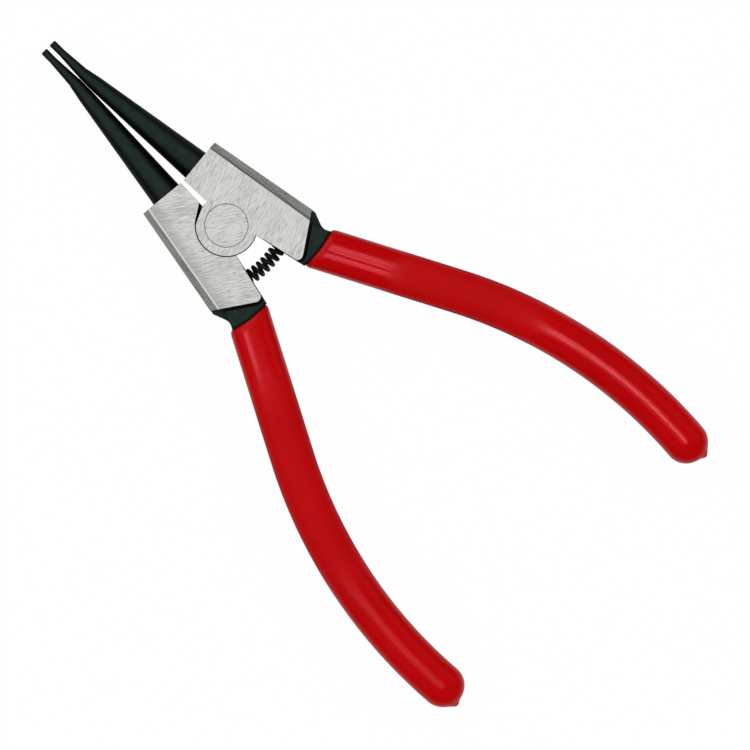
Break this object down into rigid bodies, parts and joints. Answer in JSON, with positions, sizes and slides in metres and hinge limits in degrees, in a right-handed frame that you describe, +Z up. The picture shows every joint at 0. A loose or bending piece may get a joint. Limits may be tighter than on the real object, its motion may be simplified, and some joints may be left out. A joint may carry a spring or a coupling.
{
  "type": "circlip pliers",
  "caption": "Straight-nose circlip pliers for external retaining rings, 180 mm long, with a lap joint, a return spring and red dipped grips.",
  "frame": {"origin": "on the pivot axis, on the back face of the joint that the tool lies on", "axes": "+X towards the handles along the tool's axis, +Y towards the front lever, +Z up along the pivot axis"},
  "size_m": [0.1794, 0.093, 0.009],
  "materials": {
    "lever_steel": "ground bright on the flats and bevels of the joint, black oxide on the noses, necks and in the joint",
    "rivet_steel": "ground flush with the joint",
    "spring_steel": "black oxide",
    "grip_vinyl": "glossy dipped vinyl"
  },
  "bodies": {
    "rear_half": {"rear_lever": "lever_steel", "rear_grip": "grip_vinyl", "pivot_rivet": "rivet_steel", "return_spring": "spring_steel"},
    "front_half": {"front_lever": "lever_steel", "front_grip": "grip_vinyl"}
  },
  "joints": [
    {"name": "pivot", "type": "hinge", "parent": "rear_half", "child": "front_half", "pos_m": [0, 0, 0.0045], "axis": [0, 0, -1], "range_deg": [0, 20], "stiffness_Nm_per_rad": 0.3, "springref_deg": -28.65, "deforming": ["return_spring"]}
  ]
}
